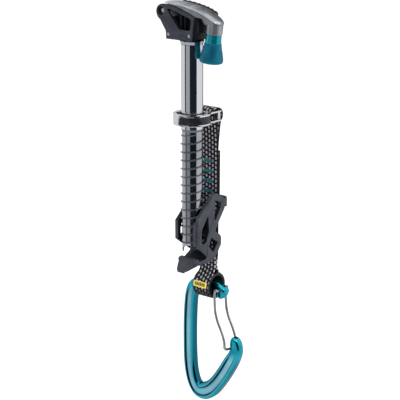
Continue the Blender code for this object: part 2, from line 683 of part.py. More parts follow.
for (y0, z0), (y1, z1) in (((14.2, 33.3), (4.6, 13.4)), ((2.9, 7.4), (3.1, -3.0))):
    along = Vector((y1 - y0, z1 - z0)).normalized() * 0.5
    turn = Vector((-along.y, along.x)) * 0.7
    crease = prism(
        "crease", [(y0 + turn.x, z0 + turn.y), (y1 + turn.x, z1 + turn.y), (y1 - turn.x, z1 - turn.y),
                   (y0 - turn.x, z0 - turn.y)],
        [], JAW_OUT - 0.45, JAW_OUT + 1.0, MOULDED, axis="X",
    )
    combine(guard, crease, "DIFFERENCE")
toe = prism(
    "toe_wall", [(-8.2, -2.6), (-6.4, -2.4), (-5.6, -5.2), (3.2, -6.0), (3.2, -7.5), (-6.6, -7.3), (-8.4, -5.6)], [],
    -5.2, JAW_OUT - 0.3, MOULDED, axis="X",
)
combine(guard, toe, "UNION")
toe_floor = prism(
    "toe_floor", [(1.2, -7.5), (1.2, -6.0), (3.4, -5.9), (9.6, -2.6), (10.4, 4.4), (11.8, 4.4), (11.2, -3.8), (3.6, -7.5)],
    [], -10.6, JAW_IN + 0.5, MOULDED, axis="X",
)
combine(guard, toe_floor, "UNION")
cheek = revolve("toe_end", rod(2.9, 6.2, 8.1), 16, MOULDED, across_y(-4.4, -5.0))
combine(guard, cheek, "UNION")
tab_rings = []
for y, z, low_x, high_x, thick in (
    (-7.2, -4.6, -6.2, 10.8, 0.95), (-9.4, -8.2, -5.8, 7.4, 1.0), (-11.3, -12.2, -5.3, 3.1, 0.95),
    (-11.9, -14.2, -4.2, 0.8, 0.7),
):
    tab_rings.append([(low_x, y - thick, z + 0.3), (high_x, y - thick, z + 0.3), (high_x, y + thick, z - 0.3),
                      (low_x, y + thick, z - 0.3)])
combine(guard, loft("pull_tab", tab_rings, MOULDED), "UNION")
rib_rings = []
for x, y, z, half in ((11.4, -6.2, -5.9, 0.75), (6.4, -7.6, -9.4, 0.7), (1.4, -10.6, -12.9, 0.65)):
    rib_rings.append([(x - 0.5, y - half, z + half), (x + 0.5, y - half, z - half), (x + 0.5, y + 2.2, z - half),
                      (x - 0.5, y + 2.2, z + half)])
combine(guard, loft("tab_rib", rib_rings, MOULDED), "UNION")
combine(guard, left, "UNION")
bridge = prism(
    "bridge", [(24.6, 33.0), (24.6, 41.8), (26.4, 41.0), (27.0, 38.8), (27.0, 33.0)], [],
    -JAW_OUT, JAW_OUT, MOULDED, axis="X",
)
ears = [
    prism(name, [(21.5, 33.5), (27.0, 33.5), (27.0, 39.0), (21.8, 40.0)], [], low, high, MOULDED, axis="X")
    for name, low, high in (("near_ear", JAW_IN, JAW_OUT), ("far_ear", -JAW_OUT, -JAW_IN))
]
back = prism(
    "back_web", [(11.2, 12.0), (13.2, 12.0), (13.6, 22.0), (11.6, 24.0)], [], -JAW_IN - 0.5, JAW_IN + 0.5, MOULDED,
    axis="X",
)
combine(guard, back, "UNION")
for ear in ears:
    combine(guard, ear, "UNION")
combine(guard, bridge, "UNION")

# ---------------------------------------------------------------- carabiner
spine = smooth_path([
    (15.9, -37.1, 3.8, 3.7, 0.0), (14.4, -36.2, 4.8, 3.9, 0.0), (12.2, -34.8, 5.2, 3.9, 0.0),
    (9.0, -32.4, 4.6, 3.8, 0.0), (4.6, -31.3, 4.5, 3.8, 0.0), (-3.0, -31.1, 4.8, 3.8, 0.0),
    (-10.2, -32.2, 5.0, 3.8, 0.0), (-15.2, -35.8, 5.1, 3.8, 0.0), (-17.9, -42.6, 5.1, 3.8, 0.9),
    (-19.1, -52.0, 5.2, 3.8, 1.3), (-19.8, -66.0, 5.3, 3.8, 1.3), (-19.9, -82.0, 5.3, 3.8, 1.3),
    (-19.5, -97.0, 5.4, 3.8, 1.3), (-18.0, -108.6, 5.3, 3.9, 1.1), (-14.9, -117.2, 5.3, 4.0, 0.9),
    (-10.2, -121.6, 6.1, 4.1, 0.6), (-4.2, -121.5, 7.0, 4.2, 0.6), (2.6, -117.8, 6.8, 4.2, 0.9),
    (9.4, -110.4, 6.3, 4.1, 1.3), (16.0, -101.0, 6.2, 4.0, 1.3), (22.0, -91.2, 6.0, 3.9, 0.8),
    (26.2, -83.8, 5.2, 3.8, 0.2), (27.5, -78.6, 4.6, 3.7, 0.0), (26.4, -74.4, 4.4, 3.7, 0.0),
    (23.0, -73.0, 4.5, 3.6, 0.0),
], 2)
body_rings = []
total = len(spine)
for k, (x, z, a, b, d) in enumerate(spine):
    back_point = spine[max(k - 1, 0)]
    next_point = spine[min(k + 1, total - 1)]
    run = Vector((next_point[0] - back_point[0], next_point[1] - back_point[1])).normalized()
    side = Vector((-run.y, run.x))
    taper = 1.0
    if k == 0 or k == total - 1:
        taper = 0.62
    a *= taper
    b *= taper
    section = [
        (-a, -0.42 * b), (-0.78 * a, -0.88 * b), (-0.5 * a, -b), (-0.34 * a, -b + d), (0.34 * a, -b + d),
        (0.5 * a, -b), (0.78 * a, -0.88 * b), (a, -0.42 * b),
    ]
    section += [(u, -v) for u, v in reversed(section)]
    body_rings.append([(x + side.x * u, CARAB_Y + v, z + side.y * u) for u, v in section])
first = spine[0]
lead = [(first[0] + 1.5, CARAB_Y + (p[1] - CARAB_Y) * 0.45, first[1] - 0.7 + (p[2] - first[1]) * 0.45)
        for p in body_rings[0]]
last = spine[-1]
tip = [(last[0] - 1.5, CARAB_Y + (p[1] - CARAB_Y) * 0.45, last[1] - 0.2 + (p[2] - last[1]) * 0.45)
       for p in body_rings[-1]]
swing_at = (0.0, CARAB_Y, HANG_Z)
carabiner = loft("carabiner_body", [lead] + body_rings + [tip], CARAB_TEAL, pivot=swing_at)
pin_hole = revolve("pin_hole", rod(WIRE_R + 0.12, -30.0, -12.0), 12, CARAB_TEAL, across_y(*GATE_PIN))
combine(carabiner, pin_hole, "DIFFERENCE")
for face in (-1.0, 1.0):
    edges = sorted((CARAB_Y + face * 2.8, CARAB_Y + face * 8.0))
    dimple = revolve("dimple", rod(WIRE_R + 0.1, -edges[1], -edges[0]), 12, CARAB_TEAL, across_y(12.7, -37.2))
    combine(carabiner, dimple, "DIFFERENCE")
    groove = prism("nose_groove", [(24.6, -67.0), (26.3, -67.0), (25.3, -78.6), (23.9, -78.6)], [], *edges, CARAB_TEAL)
    combine(carabiner, groove, "DIFFERENCE")

gx, gz = GATE_PIN
wire_side = smooth_path([
    (gx - 1.2, gz + 0.9), (gx - 2.0, gz - 2.6), (10.8, -43.0), (11.4, -50.0), (13.5, -57.0), (16.6, -63.0),
    (19.1, -68.4), (20.4, -73.0), (20.7, -76.6),
], 2)
centre_line = [Vector((gx, CARAB_Y - 2.0, gz)), Vector((gx, CARAB_Y - WIRE_Y + 0.8, gz))]
centre_line += [Vector((gx - 0.5, CARAB_Y - WIRE_Y - 0.05, gz + 0.35))]
centre_line += [Vector((x, CARAB_Y - WIRE_Y, z)) for x, z in wire_side]
bend = []
for k in range(1, 8):
    a = math.pi * k / 8.0
    bend.append(Vector((20.7 + 0.3 * math.sin(a), CARAB_Y - WIRE_Y * math.cos(a), -76.6 - 3.2 * math.sin(a) ** 0.6)))
centre_line += bend
centre_line += [Vector((p.x, 2.0 * CARAB_Y - p.y, p.z)) for p in reversed(centre_line[: 3 + len(wire_side)])]
frame_up = Vector((1.0, 0.0, 0.0))
wire_rings = []
for k, point in enumerate(centre_line):
    ahead = centre_line[min(k + 1, len(centre_line) - 1)]
    behind = centre_line[max(k - 1, 0)]
    run = (ahead - behind).normalized()
    frame_up = (frame_up - run * frame_up.dot(run)).normalized()
    other = run.cross(frame_up)
    wire_rings.append([
        tuple(point + (frame_up * math.cos(t) + other * math.sin(t)) * WIRE_R)
        for t in (2.0 * math.pi * i / 8 for i in range(8))
    ])
loft("gate_wire", wire_rings, WIRE_STEEL, pivot=(gx, CARAB_Y, gz))

for obj in bpy.data.objects:
    tidy(obj)
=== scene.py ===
import math

import bmesh
import bpy
from mathutils import Matrix, Vector
from mathutils.geometry import tessellate_polygon


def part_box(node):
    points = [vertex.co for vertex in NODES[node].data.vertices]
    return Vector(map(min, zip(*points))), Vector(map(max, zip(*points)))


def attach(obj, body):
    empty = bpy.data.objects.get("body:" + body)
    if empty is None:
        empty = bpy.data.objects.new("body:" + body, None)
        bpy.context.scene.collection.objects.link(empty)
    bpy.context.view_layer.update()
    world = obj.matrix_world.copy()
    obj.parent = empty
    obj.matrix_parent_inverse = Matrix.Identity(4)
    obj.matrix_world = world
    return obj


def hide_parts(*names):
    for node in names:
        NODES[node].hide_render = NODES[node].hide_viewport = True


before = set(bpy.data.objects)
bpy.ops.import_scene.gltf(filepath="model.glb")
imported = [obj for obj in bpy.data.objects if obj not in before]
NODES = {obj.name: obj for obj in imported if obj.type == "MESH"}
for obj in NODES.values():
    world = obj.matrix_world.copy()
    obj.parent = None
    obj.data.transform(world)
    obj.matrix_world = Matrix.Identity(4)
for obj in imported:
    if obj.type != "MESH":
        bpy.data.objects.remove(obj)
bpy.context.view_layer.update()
MM = 0.001
PER_M = 1000.0
# Weld distances in metres and flat or sharp edge angles in degrees.
WELD, CUT_WELD, CAD_WELD = 0.000005, 0.00001, 0.000004
CUT_FLAT, CAD_FLAT, SHARP = 0.8, 0.6, 32.0
SCENE = bpy.context.scene


# ------------------------------------------------------------------ mesh helpers
def mesh_object(name, verts, faces, mat, smooth=True, uvs=None):
    """One object from millimetre vertices; uvs is one (u, v) pair for each vertex."""
    mesh = bpy.data.meshes.new(name)
    mesh.from_pydata([Vector(v) * MM for v in verts], [], faces)
    if mat is not None:
        mesh.materials.append(mat)
    obj = bpy.data.objects.new(name, mesh)
    SCENE.collection.objects.link(obj)
    if uvs is not None:
        layer = mesh.uv_layers.new(name="UVMap")
        for loop in mesh.loops:
            layer.data[loop.index].uv = uvs[loop.vertex_index]
    bm = bmesh.new()
    bm.from_mesh(mesh)
    bmesh.ops.remove_doubles(bm, verts=bm.verts, dist=WELD)
    bmesh.ops.recalc_face_normals(bm, faces=bm.faces)
    bm.to_mesh(mesh)
    bm.free()
    for poly in mesh.polygons:
        poly.use_smooth = smooth
    return obj


def prism(name, outline, lo, hi, mat):
    """Extrude a closed (x, z) outline along Y between two depths."""
    count = len(outline)
    tris = tessellate_polygon([[Vector((x, z, 0.0)) for x, z in outline]])
    faces = [tuple(t) for t in tris]
    faces += [tuple(count + i for i in reversed(t)) for t in tris]
    for i in range(count):
        j = (i + 1) % count
        faces.append((i, j, count + j, count + i))
    verts = [(x, depth, z) for depth in (lo, hi) for x, z in outline]
    return mesh_object(name, verts, faces, mat, False)


def revolve(name, profile, steps, mat, matrix=None, closed=True):
    """Turn a (radius, height) profile all the way round local Z."""
    matrix = matrix or Matrix.Identity(4)
    size = len(profile)
    verts = []
    for k in range(steps):
        a = math.radians(360.0 * k / steps)
        for r, z in profile:
            verts.append(matrix @ Vector((r * math.cos(a), r * math.sin(a), z)))
    faces = []
    for k in range(steps):
        n = (k + 1) % steps
        for i in range(size if closed else size - 1):
            j = (i + 1) % size
            faces.append((k * size + i, k * size + j, n * size + j, n * size + i))
    return mesh_object(name, verts, faces, mat)


def loft(name, rings, mat, closed=False, smooth=True, uvs=None):
    """Skin equal rings of vertices, either end to end or with both ends capped."""
    size = len(rings[0])
    verts = [v for ring in rings for v in ring]
    faces = []
    last = len(rings) if closed else len(rings) - 1
    for k in range(last):
        n = (k + 1) % len(rings)
        for i in range(size):
            j = (i + 1) % size
            faces.append((k * size + i, k * size + j, n * size + j, n * size + i))
    if not closed:
        faces.append(tuple(range(size)))
        faces.append(tuple(reversed(range((len(rings) - 1) * size, len(rings) * size))))
    return mesh_object(name, verts, faces, mat, smooth, uvs)


def slab_faces(cols, rows):
    """Faces of a closed slab made of two grids of (cols + 1) by (rows + 1) vertices."""
    wide = cols + 1
    per = wide * (rows + 1)
    faces = []
    for layer in range(2):
        for i in range(rows):
            for k in range(cols):
                q = layer * per + i * wide + k
                faces.append((q, q + 1, q + wide + 1, q + wide))
    rim = list(range(wide)) + [(i + 1) * wide - 1 for i in range(1, rows + 1)]
    rim += [rows * wide + k for k in range(cols - 1, -1, -1)]
    rim += [i * wide for i in range(rows - 1, 0, -1)]
    for a, b in zip(rim, rim[1:] + rim[:1]):
        faces.append((a, b, b + per, a + per))
    return faces


def arc(centre, radius, start, end, steps):
    """Points on a circle between two angles in degrees."""
    points = []
    for k in range(steps + 1):
        a = math.radians(start + (end - start) * k / steps)
        points.append((centre[0] + radius * math.cos(a), centre[1] + radius * math.sin(a)))
    return points


def curve(points, per_span):
    """Catmull-Rom curve through tuples of any length."""
    out = []
    last = len(points) - 1
    for i in range(last):
        p0, p1, p2, p3 = (points[min(max(i + d, 0), last)] for d in (-1, 0, 1, 2))
        for k in range(per_span):
            t = k / per_span
            out.append(tuple(
                0.5 * (2 * b + (c - a) * t + (2 * a - 5 * b + 4 * c - d) * t * t
                       + (3 * b - a - 3 * c + d) * t ** 3)
                for a, b, c, d in zip(p0, p1, p2, p3)
            ))
    out.append(tuple(points[-1]))
    return out


def across_y(x, z):
    """Place for a turned piece whose axis runs along Y."""
    return Matrix.Translation((x, 0.0, z)) @ Matrix.Rotation(math.radians(90.0), 4, "X")


def across_x(y, z):
    """Place for a turned piece whose axis runs along X."""
    return Matrix.Translation((0.0, y, z)) @ Matrix.Rotation(math.radians(90.0), 4, "Y")


def settle(obj):
    """Replace an object's mesh with its evaluated one."""
    depsgraph = bpy.context.evaluated_depsgraph_get()
    mesh = bpy.data.meshes.new_from_object(obj.evaluated_get(depsgraph), depsgraph=depsgraph)
    obj.modifiers.clear()
    old = obj.data
    obj.data = mesh
    mesh.name = obj.name
    bpy.data.meshes.remove(old)


def rounded(obj, width, segments, angle):
    """Round an object's sharp edges and keep flat faces flat."""
    mod = obj.modifiers.new("round", "BEVEL")
    mod.width = width * MM
    mod.segments = segments
    mod.limit_method = "ANGLE"
    mod.angle_limit = math.radians(angle)
    mod.harden_normals = True
    mod.use_clamp_overlap = True
    settle(obj)
    for poly in obj.data.polygons:
        poly.use_smooth = True
    return obj


def add_booleans(obj, operation, others):
    """Queue one exact Boolean modifier for each other mesh."""
    for other in others:
        mod = obj.modifiers.new("cut", "BOOLEAN")
        mod.operation = operation
        mod.solver = "EXACT"
        mod.object = other


def joined(name, parts, cutters, mat, width):
    """Union closed meshes, cut them, and round the edges."""
    base = parts[0]
    add_booleans(base, "UNION", parts[1:])
    add_booleans(base, "DIFFERENCE", cutters)
    settle(base)
    for other in parts[1:] + list(cutters):
        bpy.data.objects.remove(other)
    base.name = name
    base.data.materials.clear()
    base.data.materials.append(mat)
    bm = bmesh.new()
    bm.from_mesh(base.data)
    bmesh.ops.remove_doubles(bm, verts=bm.verts, dist=CUT_WELD)
    bmesh.ops.dissolve_limit(bm, angle_limit=math.radians(CUT_FLAT), verts=bm.verts, edges=bm.edges)
    bm.to_mesh(base.data)
    bm.free()
    return rounded(base, width, 3, SHARP)


def refined(node, name, mat, width=0.35, segments=3, angle=SHARP):
    """A copy of a CAD node's mesh with rounded edges."""
    bm = bmesh.new()
    bm.from_mesh(NODES[node].data)
    bmesh.ops.remove_doubles(bm, verts=bm.verts, dist=CAD_WELD)
    bmesh.ops.dissolve_limit(bm, angle_limit=math.radians(CAD_FLAT), verts=bm.verts, edges=bm.edges)
    mesh = bpy.data.meshes.new(name)
    bm.to_mesh(mesh)
    bm.free()
    mesh.materials.append(mat)
    obj = bpy.data.objects.new(name, mesh)
    SCENE.collection.objects.link(obj)
    return rounded(obj, width, segments, angle)


def done(obj, body, slot, *nodes):
    """Attach a finished piece to its body and hide the CAD nodes it replaces; slot is not used."""
    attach(obj, body)
    if nodes:
        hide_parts(*nodes)
    return obj


# ------------------------------------------------------------------ material helpers
class Look:
    """A node material with short calls for the usual wiring."""

    def __init__(self, name, colour, metallic, roughness, **extra):
        self.mat = bpy.data.materials.new(name)
        self.mat.use_nodes = True
        self.nodes = self.mat.node_tree.nodes
        self.links = self.mat.node_tree.links
        self.bsdf = self.nodes["Principled BSDF"]
        self.set("Base Color", (*colour, 1.0))
        self.set("Metallic", metallic)
        self.set("Roughness", roughness)
        for key, value in extra.items():
            self.set(key.replace("_", " "), value)
        self.mat.diffuse_color = (*colour, 1.0)

    def set(self, socket, value):
        self.bsdf.inputs[socket].default_value = value

    def plug(self, source, socket):
        self.links.new(source, self.bsdf.inputs[socket])

    def feed(self, socket, value):
        if isinstance(value, (int, float, tuple)):
            socket.default_value = value
        else:
            self.links.new(value, socket)

    def math(self, op, a, b=0.0):
        node = self.nodes.new("ShaderNodeMath")
        node.operation = op
        for socket, value in zip(node.inputs, (a, b)):
            self.feed(socket, value)
        return node.outputs[0]

    def place(self, kind="Object"):
        return self.nodes.new("ShaderNodeTexCoord").outputs[kind]

    def scaled(self, vector, scale):
        node = self.nodes.new("ShaderNodeMapping")
        node.inputs["Scale"].default_value = scale
        self.links.new(vector, node.inputs["Vector"])
        return node.outputs[0]

    def noise(self, vector, scale, detail=3.0, rough=0.5):
        node = self.nodes.new("ShaderNodeTexNoise")
        node.inputs["Scale"].default_value = scale
        node.inputs["Detail"].default_value = detail
        node.inputs["Roughness"].default_value = rough
        self.links.new(vector, node.inputs["Vector"])
        return node.outputs["Fac"]

    def ramp(self, source, stops):
        node = self.nodes.new("ShaderNodeValToRGB")
        ramp = node.color_ramp
        while len(ramp.elements) < len(stops):
            ramp.elements.new(0.5)
        for element, (at, colour) in zip(ramp.elements, stops):
            element.position = at
            element.color = (*colour, 1.0)
        self.links.new(source, node.inputs["Fac"])
        return node.outputs["Color"]

    def spread(self, source, low, high, to_low, to_high):
        node = self.nodes.new("ShaderNodeMapRange")
        for key, value in (("From Min", low), ("From Max", high), ("To Min", to_low),
                           ("To Max", to_high)):
            node.inputs[key].default_value = value
        self.links.new(source, node.inputs["Value"])
        return node.outputs["Result"]

    def mix(self, factor, a, b):
        node = self.nodes.new("ShaderNodeMix")
        node.data_type = "RGBA"
        self.feed(node.inputs["Factor"], factor)
        for socket, value in ((node.inputs[6], a), (node.inputs[7], b)):
            self.feed(socket, (*value, 1.0) if isinstance(value, tuple) and len(value) == 3 else value)
        return node.outputs[2]

    def split(self, vector):
        node = self.nodes.new("ShaderNodeSeparateXYZ")
        self.links.new(vector, node.inputs[0])
        return node.outputs

    def bump(self, height, strength, distance):
        node = self.nodes.new("ShaderNodeBump")
        node.inputs["Strength"].default_value = strength
        node.inputs["Distance"].default_value = distance
        self.links.new(height, node.inputs["Height"])
        self.plug(node.outputs[0], "Normal")


def grainy(name, dark, light, metallic, rough, scale, bump=0.25, depth=0.00006, stretch=(1, 1, 1),
           **extra):
    """Colour, roughness and surface grain that vary together at one scale."""
    look = Look(name, light, metallic, 0.5 * (rough[0] + rough[1]), **extra)
    where = look.scaled(look.place(), stretch)
    fine = look.noise(where, scale, 4.0, 0.6)
    broad = look.noise(where, scale * 0.06, 2.0, 0.5)
    look.plug(look.mix(look.spread(broad, 0.3, 0.7, 0.0, 1.0), dark, light), "Base Color")
    mottle = look.math("ADD", look.math("MULTIPLY", fine, 0.5), look.math("MULTIPLY", broad, 0.5))
    look.plug(look.spread(mottle, 0.3, 0.7, rough[0], rough[1]), "Roughness")
    look.bump(fine, bump, depth)
    return look


CHROME = grainy("polished_chrome", (0.80, 0.81, 0.83), (0.90, 0.91, 0.92), 1.0, (0.05, 0.11), 900.0, 0.05,
                0.00001, (1.0, 1.0, 0.04))
# Darker steel: the threaded length's own finish, and painted shade on the flared top.
THREAD_FINISH_AND_SHADE = grainy("threaded_steel_and_painted_shade", (0.42, 0.43, 0.46), (0.60, 0.61, 0.64), 1.0, (0.10, 0.16), 300.0, 0.03,
                0.00001)
# Much darker copy of the steel: painted shade on the thread ridges and on the step above the threads.
RIDGE_PAINTED_SHADE = grainy("thread_ridge_painted_shade", (0.16, 0.17, 0.19), (0.28, 0.29, 0.31), 1.0, (0.14, 0.22), 300.0, 0.03,
               0.00001)
PLATE = grainy("head_plate", (0.016, 0.022, 0.032), (0.028, 0.035, 0.047), 0.2, (0.38, 0.5), 1500.0, 0.18,
               0.00004)
CORE = grainy("head_core", (0.003, 0.004, 0.006), (0.008, 0.010, 0.014), 0.0, (0.45, 0.6), 1400.0, 0.2,
              0.00005, Specular_IOR_Level=0.2)
GUN = grainy("crank_grey", (0.32, 0.34, 0.37), (0.42, 0.44, 0.47), 0.92, (0.27, 0.38), 2200.0, 0.16,
             0.00003)
COVER = grainy("arm_strip", (0.003, 0.003, 0.004), (0.008, 0.009, 0.010), 0.0, (0.4, 0.6), 1800.0, 0.3,
               0.00006)
PIN = grainy("pin_metal", (0.62, 0.62, 0.64), (0.78, 0.78, 0.80), 1.0, (0.18, 0.3), 2000.0, 0.1, 0.00002)
TEAL = grainy("anodised_ferrule", (0.0, 0.30, 0.40), (0.02, 0.44, 0.54), 0.85, (0.24, 0.32), 1600.0, 0.06,
              0.00001, (1.0, 1.0, 0.1), Coat_Weight=0.3, Coat_Roughness=0.1)
GRIP = grainy("matte_grip", (0.0, 0.11, 0.18), (0.0, 0.17, 0.26), 0.65, (0.38, 0.5), 2600.0, 0.35,
              0.00005)
RING = grainy("ring_polish", (0.80, 0.81, 0.83), (0.92, 0.92, 0.93), 1.0, (0.10, 0.18), 1500.0, 0.08,
              0.00001, (0.15, 0.15, 1.0))
BAND = grainy("ring_band_black", (0.006, 0.007, 0.010), (0.014, 0.016, 0.020), 0.0, (0.22, 0.34), 1200.0,
              0.1, 0.00003)
LINER = grainy("liner_slate", (0.02, 0.026, 0.038), (0.035, 0.045, 0.06), 0.0, (0.35, 0.5), 1200.0, 0.15,
               0.00004)
RUBBER = grainy("keeper_black", (0.004, 0.004, 0.005), (0.010, 0.010, 0.012), 0.0, (0.45, 0.62), 2400.0,
                0.3, 0.00005)
PLASTIC = grainy("protector_slate", (0.019, 0.024, 0.034), (0.030, 0.037, 0.050), 0.0, (0.4, 0.52),
                 2600.0, 0.25, 0.00004)
# Near-black copy of the protector plastic: painted shade for the inside of the cup.
CUP_PAINTED_SHADE = grainy("protector_inner_painted_shade", (0.003, 0.004, 0.006), (0.007, 0.009, 0.013), 0.0, (0.5, 0.65), 2600.0,
               0.25, 0.00004, Specular_IOR_Level=0.2)
CARAB = grainy("carabiner_teal", (0.0, 0.17, 0.24), (0.01, 0.34, 0.44), 1.0, (0.10, 0.17), 1500.0, 0.06,
               0.00001, (1.0, 1.0, 0.3), Coat_Weight=0.25, Coat_Roughness=0.08)
WIRE = grainy("wire_grey", (0.44, 0.44, 0.45), (0.60, 0.60, 0.62), 1.0, (0.28, 0.4), 2000.0, 0.12,
              0.00002)
TACK = grainy("teal_thread", (0.0, 0.06, 0.09), (0.0, 0.15, 0.21), 0.0, (0.6, 0.8), 3500.0, 0.9, 0.0002,
              (4.0, 1.0, 0.5))


def paint_recess_reflections(look):
    """Painted reflections in the recess, as light and dark bands; u runs from the section's side to its
    middle, and v is how deep the recess is.
    """
    mark, depth, _ = look.split(look.place("UV"))
    reflection_bands = look.ramp(mark, [
        (0.0, (0.0, 0.10, 0.15)), (0.22, (0.0, 0.34, 0.46)), (0.42, (0.03, 0.54, 0.68)),
        (0.53, (0.12, 0.66, 0.80)), (0.60, (0.0, 0.04, 0.06)), (0.87, (0.0, 0.03, 0.05)),
        (0.90, (0.14, 0.56, 0.70)), (1.0, (0.36, 0.74, 0.88)),
    ])
    patch = look.spread(look.noise(look.place(), 40.0), 0.35, 0.65, 0.0, 0.3)
    reflection_bands = look.mix(patch, reflection_bands, (0.0, 0.10, 0.15))
    cloud = look.spread(look.noise(look.place(), 90.0), 0.3, 0.7, 0.0, 1.0)
    plain = look.mix(cloud, (0.0, 0.32, 0.43), (0.03, 0.56, 0.70))
    look.plug(look.mix(depth, plain, reflection_bands), "Base Color")


PICK_ACROSS, PICK_ALONG = 3.05, 3.6
PICK_WIDE, PICK_TALL = 0.27, 0.34
BAND_MIDDLE = 9.15
# Heights in metres over which the pale picks dim: painted shade towards the bottom of the loop by the
# keeper.
PICK_SHADE_LOW, PICK_SHADE_HIGH = -0.0345, -0.0305


def web_material():
    """Black woven webbing with pale raised picks in columns; u and v are millimetres across and along."""
    look = Look("webbing_weave", (0.01, 0.01, 0.012), 0.0, 0.8, Specular_IOR_Level=0.15)
    u, v, _ = look.split(look.place("UV"))
    wobble = look.noise(look.place(), 900.0, 2.0)
    shift = look.math("MULTIPLY", look.math("SUBTRACT", wobble, 0.5), 0.16)
    across = look.math("ADD", look.math("DIVIDE", u, PICK_ACROSS), shift)
    fu = look.math("FRACT", across)
    column = look.math("MULTIPLY", look.math("FLOOR", across), 0.3)
    along = look.math("DIVIDE", v, PICK_ALONG)
    fv = look.math("FRACT", look.math("ADD", along, look.math("ADD", shift, column)))
    du = look.math("DIVIDE", look.math("ABSOLUTE", look.math("SUBTRACT", fu, 0.5)), PICK_WIDE)
    dv = look.math("DIVIDE", look.math("ABSOLUTE", look.math("SUBTRACT", fv, 0.5)), PICK_TALL)
    reach = look.math("ADD", look.math("POWER", du, 3.0), look.math("POWER", dv, 4.0))
    pick = look.spread(reach, 0.55, 1.15, 1.0, 0.0)
    edge = look.math("ABSOLUTE", look.math("SUBTRACT", u, BAND_MIDDLE))
    pick = look.math("MULTIPLY", pick, look.spread(edge, 8.1, 8.5, 1.0, 0.0))
    _, _, height_z = look.split(look.place())
    # Painted shade: picks fall to 0.22 of their brightness towards the bottom of the loop.
    pick = look.math("MULTIPLY", pick, look.spread(height_z, PICK_SHADE_LOW, PICK_SHADE_HIGH, 0.22, 1.0))
    fray = look.noise(look.scaled(look.place(), (2.2, 2.2, 0.5)), 2600.0, 3.0)
    thread = look.math("SINE", look.math("MULTIPLY", u, 19.0))
    pale = look.ramp(fray, [
        (0.25, (0.12, 0.12, 0.14)), (0.5, (0.33, 0.33, 0.36)), (0.8, (0.60, 0.60, 0.64)),
    ])
    weave = look.math("MULTIPLY", look.math("SINE", look.math("MULTIPLY", look.math("ADD", u, v), 7.0)),
                      look.math("SINE", look.math("MULTIPLY", look.math("SUBTRACT", u, v), 7.0)))
    dark = look.mix(look.spread(weave, -1.0, 1.0, 0.0, 1.0), (0.0015, 0.0015, 0.002),
                    (0.009, 0.009, 0.011))
    look.plug(look.mix(pick, dark, pale), "Base Color")
    height = look.math("ADD", pick, look.math("MULTIPLY", weave, 0.12))
    height = look.math("ADD", height, look.math("MULTIPLY", thread, 0.05))
    look.bump(height, 0.8, 0.0004)
    look.plug(look.spread(fray, 0.3, 0.7, 0.7, 0.95), "Roughness")
    return look.mat


def label_material():
    """Yellow woven label with a lighter rim and plain dark bars in place of any wording."""
    look = Look("label_weave", (0.80, 0.60, 0.05), 0.0, 0.6)
    u, v, _ = look.split(look.place("UV"))
    across = look.math("ABSOLUTE", look.math("SUBTRACT", u, 0.5))
    along = look.math("ABSOLUTE", look.math("SUBTRACT", v, 0.5))
    field = look.math("MULTIPLY", look.spread(across, 0.37, 0.41, 1.0, 0.0),
                      look.spread(along, 0.22, 0.30, 1.0, 0.0))
    bars = look.spread(look.math("SINE", look.math("MULTIPLY", u, 48.0)), -0.4, 0.3, 0.0, 1.0)
    rim = look.math("MAXIMUM", look.spread(across, 0.42, 0.46, 0.0, 1.0),
                    look.spread(along, 0.36, 0.42, 0.0, 1.0))
    grain = look.noise(look.place(), 3000.0, 2.0)
    base = look.mix(rim, (0.70, 0.50, 0.03), (0.86, 0.72, 0.20))
    inner = look.mix(bars, (0.45, 0.31, 0.015), (0.006, 0.004, 0.001))
    tint = look.mix(field, base, inner)
    look.plug(look.mix(look.spread(grain, 0.3, 0.7, 0.0, 0.18), tint, (0.2, 0.15, 0.02)), "Base Color")
    look.bump(grain, 0.4, 0.00008)
    return look.mat


paint_recess_reflections(CARAB)
WEB = web_material()
LABEL = label_material()

# ------------------------------------------------------------------ screw tube
TUBE_R, ROOT_R, CREST_R, BORE_R = 8.3, 7.7, 8.95, 6.5
PITCH = 6.4
TOOTH_START, TOOTH_TOP, TOOTH_LEAN = 25.0, 7.5, 0.95
# Heights in mm: painted shade on the step between STEP_LOW and STEP_HIGH and on the flare above
# FLARE_FROM.
STEP_LOW, STEP_HIGH, FLARE_FROM = 95.2, 97.0, 160.4
THREAD_TOP, THREAD_ANGLE = 93.6, 336.0


def tooth_edge(theta):
    """Height of the tube's cut end at one angle in degrees."""
    rel = (theta - TOOTH_START) % 90.0
    stops = ((0.0, 0.0), (2.0, 0.0), (42.0, 5.5), (74.0, 6.8), (80.0, 7.15), (84.0, 7.3), (88.6, 6.9),
             (89.3, 6.0), (90.0, 0.0))
    for (a, low), (b, high) in zip(stops, stops[1:]):
        if rel <= b:
            return low + (high - low) * (rel - a) / (b - a)
    return 0.0


tooth_angles = [0.0, 1.0, 2.0, 80.0, 82.0, 84.0, 86.0, 88.6, 89.3] + [2.0 + 4.0 * i for i in range(20)]
angles = sorted({round((TOOTH_START + 90.0 * q + r) % 360.0, 3) for q in range(4) for r in tooth_angles})
outside = [
    (ROOT_R, 9.0), (ROOT_R, 12.0), (ROOT_R, 40.0), (ROOT_R, 70.0), (ROOT_R, 95.1), (7.78, 95.3),
    (8.22, 96.5), (TUBE_R, 96.9), (TUBE_R, 130.0), (TUBE_R, 160.2), (8.36, 160.8), (8.65, 161.8),
    (9.0, 162.5), (9.2, 162.9), (9.2, 163.3),
]
verts = []
for theta in angles:
    a = math.radians(theta)
    foot = tooth_edge(theta)
    column = [(5.9, 163.3), (6.4, 150.0), (BORE_R, 60.0), (BORE_R, 9.0), (BORE_R, foot + 0.15)]
    column += [(ROOT_R - 0.35 * (1.0 - min(1.0, foot / 6.0)) - 0.1, foot), (ROOT_R, foot + 0.5)]
    column += outside
    for r, z in column:
        twist = a + math.radians(TOOTH_LEAN * min(z, TOOTH_TOP))
        verts.append((r * math.cos(twist), r * math.sin(twist), z))
size = len(column)
